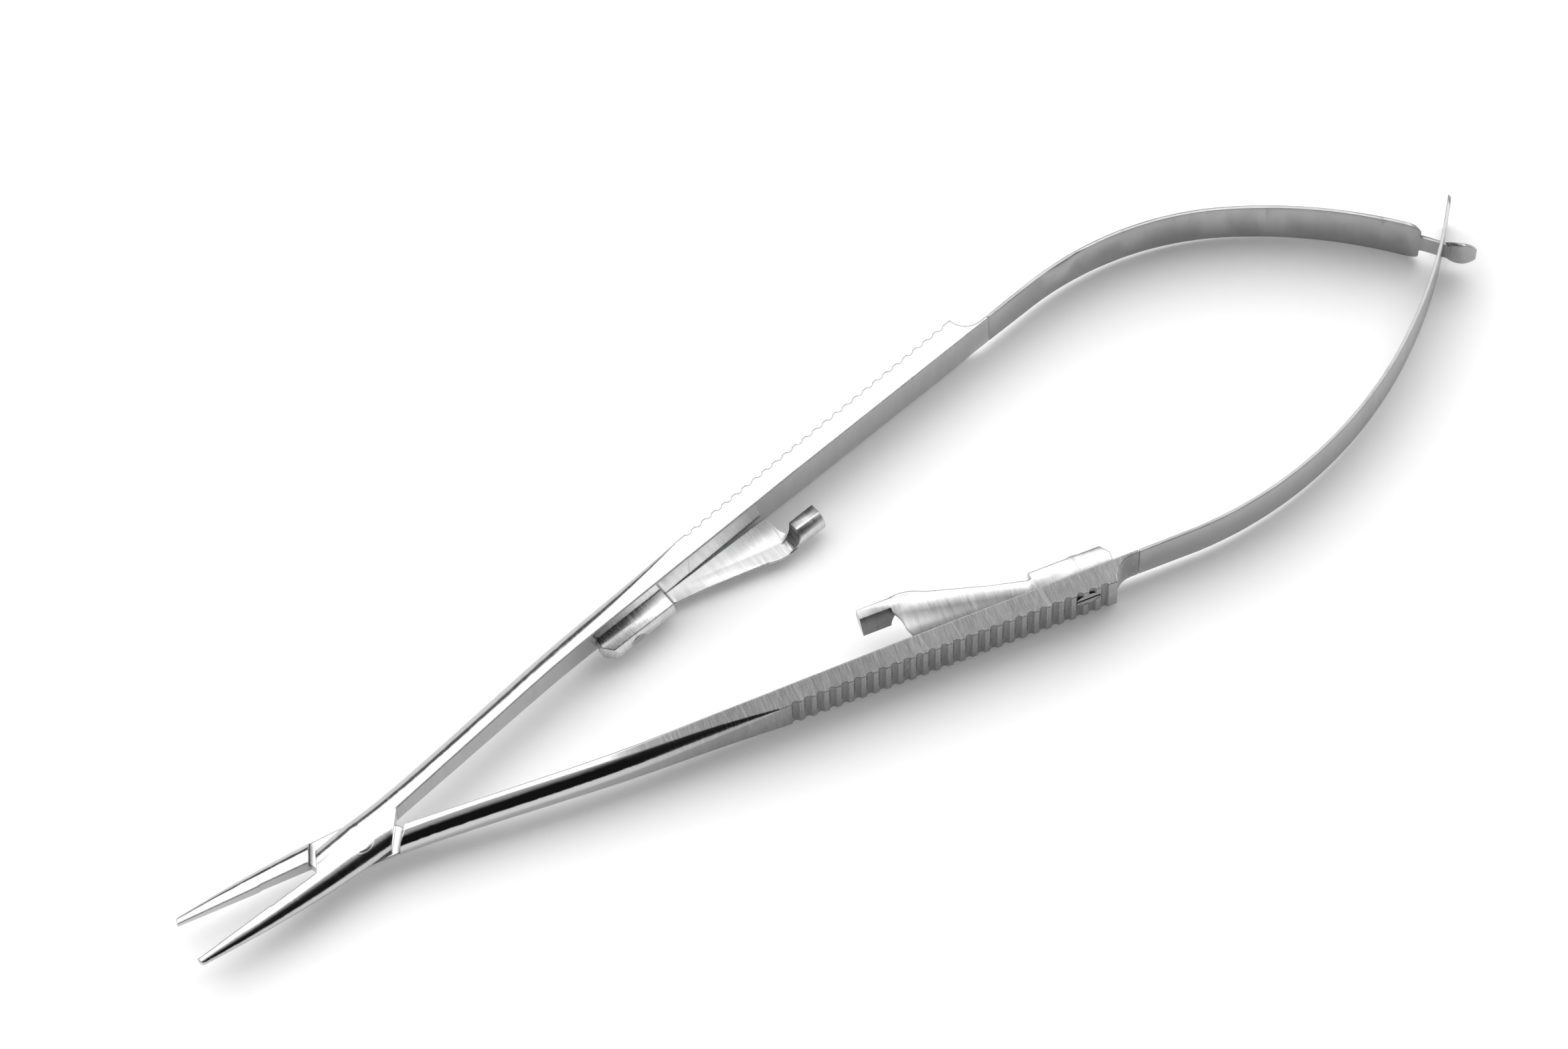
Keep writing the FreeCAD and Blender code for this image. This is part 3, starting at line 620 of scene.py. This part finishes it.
SATIN = SteelFinish(
    name="satin_steel", tint=(0.45, 0.45, 0.45), shade=(0.39, 0.39, 0.395), roughness=0.34,
    roughness_spread=0.12, grain=Grain.LENGTHWISE, marks_per_mm=8.0, mark_length_mm=6.0,
    relief_mm=0.001)
SCREW = SteelFinish(
    name="screw_steel", tint=(0.42, 0.42, 0.42), shade=(0.32, 0.32, 0.33), roughness=0.28,
    roughness_spread=0.12, relief_mm=0.001)
FINISHES = (POLISHED, BRUSHED, UPPER_CATCH, LOWER_CATCH, SATIN, SCREW)


# ---------------------------------------------------------------- the object

def set_material(piece: Object, made: Material) -> None:
    """Put one material on every face of a piece, through its slots.

    Args:
        piece: The piece.
        made: The material.
    """
    if not piece.material_slots:
        piece.data.materials.append(made)
    for slot in piece.material_slots:
        slot.link = "OBJECT"
        slot.material = made


def merged_copy(node: str, name: str) -> Object:
    """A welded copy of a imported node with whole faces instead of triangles.

    Args:
        node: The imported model's node.
        name: The new piece's name.

    Returns:
        The copy, active and alone selected, in object mode.
    """
    bpy.ops.object.select_all(action="DESELECT")
    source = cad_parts[node]
    piece = source.copy()
    piece.data = source.data.copy()
    piece.parent = None
    piece.name = piece.data.name = name
    for key in [key for key in piece.keys() if key.startswith("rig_")]:
        del piece[key]
    piece.data.materials.clear()
    bpy.context.scene.collection.objects.link(piece)
    bpy.context.view_layer.objects.active = piece
    piece.select_set(True)
    bpy.ops.mesh.customdata_custom_splitnormals_clear()
    bpy.ops.object.mode_set(mode="EDIT")
    bpy.ops.mesh.select_all(action="SELECT")
    bpy.ops.mesh.remove_doubles(threshold=PACKED_WELD)
    bpy.ops.mesh.dissolve_limited(angle_limit=math.radians(FLAT_DEG), delimit={"SHARP"})
    bpy.ops.object.mode_set(mode="OBJECT")
    return piece


def bevel_where(piece: Object, width_mm: float, sharper_deg: float,
                wanted: Callable[[Vector], bool]) -> None:
    """Round the sharp edges whose middle lies where wanted says.

    Args:
        piece: The active piece.
        width_mm: Width of the rounding.
        sharper_deg: Edges sharper than this are rounded.
        wanted: Tells from an edge's middle, in millimetres, if it is rounded.
    """
    bpy.ops.object.mode_set(mode="EDIT")
    bpy.ops.mesh.select_mode(type="EDGE")
    bpy.ops.mesh.select_all(action="DESELECT")
    bpy.ops.mesh.edges_select_sharp(sharpness=math.radians(sharper_deg))
    bpy.ops.object.mode_set(mode="OBJECT")
    points = piece.data.vertices
    for edge in piece.data.edges:
        if edge.select:
            middle = (points[edge.vertices[0]].co + points[edge.vertices[1]].co) / 2 / MM
            edge.select = wanted(middle)
    bpy.ops.object.mode_set(mode="EDIT")
    bpy.ops.mesh.bevel(offset=width_mm * MM, segments=4, profile=0.5, clamp_overlap=True)
    bpy.ops.object.mode_set(mode="OBJECT")


def ease_edges(piece: Object, width_mm: float, sharper_deg: float) -> None:
    """Bevel every edge that is still sharp, clean the mesh and smooth its shading.

    Args:
        piece: The active piece.
        width_mm: Width of the rounding.
        sharper_deg: Edges sharper than this are rounded.
    """
    bevel = piece.modifiers.new("eased_edges", "BEVEL")
    bevel.width = width_mm * MM
    bevel.segments = 3
    bevel.limit_method = "ANGLE"
    bevel.angle_limit = math.radians(sharper_deg)
    bevel.use_clamp_overlap = True
    bpy.ops.object.modifier_apply(modifier=bevel.name)
    bpy.ops.object.mode_set(mode="EDIT")
    bpy.ops.mesh.select_all(action="SELECT")
    bpy.ops.mesh.remove_doubles(threshold=BEVEL_WELD)
    bpy.ops.mesh.dissolve_degenerate(threshold=SLIVER)
    bpy.ops.mesh.normals_make_consistent(inside=False)
    bpy.ops.object.mode_set(mode="OBJECT")
    bpy.ops.object.shade_smooth_by_angle(angle=math.radians(SMOOTH_DEG))


@dataclass
class Dressed:
    """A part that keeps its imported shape: an arm, the pin or a screw.

    Attributes:
        node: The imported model's node.
        finish: Its steel.
    """

    node: str
    finish: SteelFinish

    def build(self, made: Material) -> None:
        """Give the part its steel.

        Args:
            made: The steel's material.
        """
        set_material(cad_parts[self.node], made)
        log.info("dressed %s", self.node)


@dataclass
class Catch:
    """One catch: screwed block, thin blade and hook bar, with eased edges.

    Attributes:
        node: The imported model's node.
        finish: Its steel.
        body: The body it moves with.
        at_mm: Middle of its screw, seen from above.
        turn_deg: Direction of its blade, from X.
        block_mm: From where to where the block's edges are rounded, along
            the blade from the screw.
        block_round_mm: Rounding of the block's edges.
        edge_round_mm: Rounding of the other edges.
        sharp_deg: Edges sharper than this are rounded.
    """

    node: str
    finish: SteelFinish
    body: str
    at_mm: tuple[float, float]
    turn_deg: float
    block_mm: tuple[float, float] = (-3.65, 4.2)
    block_round_mm: float = 0.3
    edge_round_mm: float = 0.07
    sharp_deg: float = 40.0

    def on_block(self, point: Vector) -> bool:
        """Whether a point lies on the screwed block.

        Args:
            point: The point, in millimetres.

        Returns:
            True on the block and False on the blade and hook.
        """
        turn = math.radians(self.turn_deg)
        along_mm = ((point.x - self.at_mm[0]) * math.cos(turn)
                    + (point.y - self.at_mm[1]) * math.sin(turn))
        return self.block_mm[0] < along_mm < self.block_mm[1]

    def build(self, made: Material) -> None:
        """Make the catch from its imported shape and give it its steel.

        Args:
            made: The steel's material.
        """
        piece = merged_copy(self.node, self.node + "_eased")
        bevel_where(piece, self.block_round_mm, self.sharp_deg, self.on_block)
        ease_edges(piece, self.edge_round_mm, self.sharp_deg)
        set_material(piece, made)
        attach(piece, self.body)
        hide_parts(self.node)
        log.info("built %s with %d faces", piece.name, len(piece.data.polygons))


@dataclass
class LeafSpring:
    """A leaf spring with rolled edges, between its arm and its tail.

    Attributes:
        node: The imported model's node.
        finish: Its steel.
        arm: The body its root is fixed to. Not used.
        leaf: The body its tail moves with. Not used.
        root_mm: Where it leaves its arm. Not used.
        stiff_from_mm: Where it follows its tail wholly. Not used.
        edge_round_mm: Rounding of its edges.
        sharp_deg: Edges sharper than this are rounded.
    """

    node: str
    finish: SteelFinish
    arm: str
    leaf: str
    root_mm: tuple[float, float, float]
    stiff_from_mm: tuple[float, float, float]
    edge_round_mm: float = 0.1
    sharp_deg: float = 50.0

    def build(self, made: Material) -> None:
        """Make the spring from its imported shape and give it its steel.

        Args:
            made: The steel's material.
        """
        piece = merged_copy(self.node, self.node + "_bending")
        ease_edges(piece, self.edge_round_mm, self.sharp_deg)
        set_material(piece, made)
        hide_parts(self.node)
        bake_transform(piece)
        log.info("built %s with %d faces", piece.name, len(piece.data.polygons))


PARTS = (
    Dressed("outer_arm", POLISHED),
    Dressed("inner_arm", BRUSHED),
    Dressed("pivot_pin", POLISHED),
    Dressed("outer_catch_screw", SCREW),
    Dressed("inner_catch_screw", SCREW),
    Catch("outer_catch", UPPER_CATCH, body="outer", at_mm=(-19.5, 8.6), turn_deg=9.09),
    Catch("inner_catch", LOWER_CATCH, body="inner", at_mm=(19.3, -14.9), turn_deg=170.91),
    LeafSpring("tongue_spring", SATIN, arm="outer", leaf="tongue_leaf",
               root_mm=(26.2, 13.9, 4.0), stiff_from_mm=(54.0, 15.4, 4.0)),
    LeafSpring("slot_spring", SATIN, arm="inner", leaf="slot_leaf",
               root_mm=(26.2, -13.9, 4.0), stiff_from_mm=(54.0, -15.4, 4.0)),
)


# ---------------------------------------------------------------- the studio

@dataclass(frozen=True)
class Screen:
    """Part of a dome round the table, a glowing screen that is no lamp and that only reflections
    see: a painted reflection.

    Attributes:
        name: The screen's name.
        azimuth_deg: From where to where it stands, on both sides of the
            camera's azimuth.
        elevation_deg: From where to where it reaches above the horizon.
        bright: Brightness far from the camera.
        dark: Brightness near the camera.
        fade: Shares of the way towards the camera where it begins to darken
            and where it is darkest.
        overhead_from_deg: Elevation from which it closes the dome all round.
    """

    name: str
    azimuth_deg: tuple[float, float]
    elevation_deg: tuple[float, float]
    bright: float
    dark: float
    fade: tuple[float, float] = (-1.0, 1.0)
    overhead_from_deg: float = 90.0

    def keeps(self, azimuth_deg: float, elevation_deg: float) -> bool:
        """Whether a place on the dome belongs to this screen.

        Args:
            azimuth_deg: How far it is from the camera's azimuth.
            elevation_deg: Its height above the horizon.

        Returns:
            True if it does.
        """
        return (elevation_deg > self.overhead_from_deg
                or (self.azimuth_deg[0] <= azimuth_deg <= self.azimuth_deg[1]
                    and self.elevation_deg[0] < elevation_deg < self.elevation_deg[1]))


# Painted reflections: dark on the camera's side and overhead, bright beyond the object, dim low
# behind it.
SCREENS = (
    Screen("near_screen", azimuth_deg=(0.0, 80.0), elevation_deg=(4.0, 90.0), bright=0.62,
           dark=0.012, fade=(-0.14, 0.34), overhead_from_deg=71.3),
    Screen("soft_screen", azimuth_deg=(80.0, 180.0), elevation_deg=(34.0, 71.3), bright=2.6,
           dark=2.6),
    Screen("far_screen", azimuth_deg=(110.0, 180.0), elevation_deg=(2.0, 32.0), bright=0.13,
           dark=0.13),
)


@dataclass
class Studio:
    """Pale table, soft light from overhead and the camera.

    Attributes:
        target_mm: The point in the middle of the picture.
        distance_mm: Camera distance from that point.
        azimuth_deg: Direction from the object to the camera.
        elevation_deg: Camera's height above the horizon.
        roll_deg: Camera's turn about its own axis.
        pixels_per_mm: Picture scale at the target, in the photograph's frame.
        lamp_radiance: Brightness of the softbox, where 1 is white.
        lamp_size_m: Width and height of the softbox.
        lamp_azimuth_deg: Direction from the object to the softbox.
        lamp_elevation_deg: Its height above the horizon.
        lamp_distance_m: Its distance from the object.
        dome_radius_m: Distance of the screens that reflections see.
        paper: Darkest and lightest colour of the table's paper.
        paper_glow: What the table adds to the paper where it is seen.
        table_size_m: Width of the table.
        fill: Brightness of the surroundings as soft light.
    """

    target_mm: tuple[float, float, float] = (-0.43, 8.17, -0.45)
    distance_mm: float = 800.0
    azimuth_deg: float = -117.7
    elevation_deg: float = 71.0
    roll_deg: float = -3.22
    pixels_per_mm: float = 15.555
    lamp_radiance: float = 2.7
    lamp_size_m: tuple[float, float] = (2.3, 1.3)
    lamp_azimuth_deg: float = 70.0
    lamp_elevation_deg: float = 61.0
    lamp_distance_m: float = 1.35
    dome_radius_m: float = 1.8
    paper: tuple[float, float] = (0.90, 0.92)
    paper_glow: float = 0.03
    table_size_m: float = 8.0
    fill: float = 0.45

    @staticmethod
    def direction(azimuth_deg: float, elevation_deg: float) -> Vector:
        """Unit vector towards an azimuth and elevation.

        Args:
            azimuth_deg: Azimuth from X.
            elevation_deg: Height above the horizon.

        Returns:
            The vector.
        """
        a, e = math.radians(azimuth_deg), math.radians(elevation_deg)
        return Vector((math.cos(e) * math.cos(a), math.cos(e) * math.sin(a), math.sin(e)))

    def add_camera(self) -> None:
        """Create the camera and make it the scene's."""
        back = self.direction(self.azimuth_deg, self.elevation_deg)
        right = Vector((0, 0, 1)).cross(back).normalized()
        up = back.cross(right)
        roll = math.radians(self.roll_deg)
        right, up = (math.cos(roll) * right + math.sin(roll) * up,
                     -math.sin(roll) * right + math.cos(roll) * up)
        data = bpy.data.cameras.new("camera")
        data.sensor_width = SENSOR_WIDTH_MM
        data.lens = self.pixels_per_mm * self.distance_mm / FRAME_WIDTH_PX * SENSOR_WIDTH_MM
        data.clip_start, data.clip_end = 0.01, 20.0
        camera = bpy.data.objects.new("camera", data)
        bpy.context.scene.collection.objects.link(camera)
        place = (Vector(self.target_mm) + back * self.distance_mm) * MM
        turn = Matrix((right, up, back)).transposed().to_4x4()
        camera.matrix_world = Matrix.Translation(place) @ turn
        bpy.context.scene.camera = camera

    def add_floor(self) -> None:
        """Lay the table: pale, and white where nothing shades it."""
        bpy.ops.object.select_all(action="DESELECT")
        bpy.ops.mesh.primitive_grid_add(x_subdivisions=8, y_subdivisions=8,
                                        size=self.table_size_m)
        floor = bpy.context.active_object
        floor.name = "table_top"
        made, tree, surface = new_material("table_paper")
        paper = add_node(tree, "ShaderNodeBsdfPrincipled", Roughness=0.9, Specular_IOR_Level=0.0)
        place = tree.nodes.new("ShaderNodeTexCoord")
        fibres = add_node(tree, "ShaderNodeTexNoise", Scale=900.0, Detail=2.0)
        tree.links.new(place.outputs["Object"], fibres.inputs["Vector"])
        mix = add_node(tree, "ShaderNodeMix", data_type="RGBA")
        mix.inputs["A"].default_value = grey(self.paper[0])
        mix.inputs["B"].default_value = grey(self.paper[1])
        tree.links.new(fibres.outputs["Fac"], mix.inputs["Factor"])
        tree.links.new(mix.outputs["Result"], paper.inputs["Base Color"])
        glow = add_node(tree, "ShaderNodeEmission")
        tree.links.new(math_node(tree, "MULTIPLY", seen_directly(tree), self.paper_glow),
                       glow.inputs["Strength"])
        both = tree.nodes.new("ShaderNodeAddShader")
        tree.links.new(paper.outputs["BSDF"], both.inputs[0])
        tree.links.new(glow.outputs["Emission"], both.inputs[1])
        tree.links.new(both.outputs["Shader"], surface)
        floor.data.materials.append(made)

    def add_softbox(self) -> None:
        """Hang the softbox beyond the object, as the photographer did."""
        towards = self.direction(self.lamp_azimuth_deg, self.lamp_elevation_deg)
        data = bpy.data.lights.new("softbox", "AREA")
        data.shape = "RECTANGLE"
        data.size, data.size_y = self.lamp_size_m
        data.energy = self.lamp_radiance * math.pi * data.size * data.size_y
        lamp = bpy.data.objects.new("softbox", data)
        bpy.context.scene.collection.objects.link(lamp)
        lamp.location = towards * self.lamp_distance_m
        lamp.rotation_euler = towards.to_track_quat("Z", "Y").to_euler()
        # The softbox lights the scene but is hidden from reflections; soft_screen paints its
        # reflection instead.
        lamp.visible_camera = False
        lamp.visible_glossy = False

    def add_screen(self, screen: Screen) -> None:
        """Stand one part of the dome round the table, a glowing screen that paints reflections.

        Args:
            screen: The part.
        """
        bpy.ops.object.select_all(action="DESELECT")
        bpy.ops.mesh.primitive_uv_sphere_add(segments=96, ring_count=48,
                                             radius=self.dome_radius_m)
        piece = bpy.context.active_object
        piece.name = screen.name
        bpy.ops.object.mode_set(mode="EDIT")
        bpy.ops.mesh.select_all(action="DESELECT")
        bpy.ops.object.mode_set(mode="OBJECT")
        for face in piece.data.polygons:
            middle = face.center
            azimuth = math.degrees(math.atan2(middle.y, middle.x)) - self.azimuth_deg
            azimuth = abs((azimuth + 180.0) % 360.0 - 180.0)
            elevation = math.degrees(math.asin(max(-1.0, min(1.0, middle.z / middle.length))))
            face.select = not screen.keeps(azimuth, elevation)
        bpy.ops.object.mode_set(mode="EDIT")
        bpy.ops.mesh.delete(type="FACE")
        bpy.ops.object.mode_set(mode="OBJECT")
        made, tree, surface = new_material(screen.name + "_cloth")
        place = tree.nodes.new("ShaderNodeTexCoord")
        near = add_node(tree, "ShaderNodeVectorMath", operation="DOT_PRODUCT")
        near.inputs[1].default_value = self.direction(self.azimuth_deg, 0.0) / self.dome_radius_m
        tree.links.new(place.outputs["Object"], near.inputs[0])
        glow = tree.nodes.new("ShaderNodeEmission")
        tree.links.new(map_range(tree, near.outputs["Value"], screen.fade, screen.bright,
                                 screen.dark), glow.inputs["Strength"])
        tree.links.new(glow.outputs["Emission"], surface)
        piece.data.materials.append(made)
        piece.visible_camera = False
        piece.visible_shadow = False
        piece.visible_diffuse = False

    def add_world(self) -> None:
        """White surroundings for camera and reflections, softer for fill light."""
        world = bpy.data.worlds.new("surroundings")
        world.use_nodes = True
        tree = world.node_tree
        back = tree.nodes["Background"]
        back.inputs["Color"].default_value = grey(1.0)
        added = math_node(tree, "MULTIPLY", seen_directly(tree), 1.0 - self.fill)
        tree.links.new(math_node(tree, "ADD", added, self.fill), back.inputs["Strength"])
        bpy.context.scene.world = world

    def build(self) -> None:
        """Set the studio up."""
        bpy.context.scene.view_settings.view_transform = "Standard"
        self.add_world()
        self.add_floor()
        self.add_softbox()
        for screen in SCREENS:
            self.add_screen(screen)
        self.add_camera()
        log.info("studio is up")


def main() -> None:
    """Build every sub-assembly in order."""
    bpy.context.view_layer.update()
    effects = Effects()
    steels = {finish: finish.build(effects) for finish in FINISHES}
    for part in PARTS:
        part.build(steels[part.finish])
    Studio().build()


if __name__ == "__main__":
    logging.basicConfig(level=logging.INFO, format="%(name)s: %(message)s")
    main()
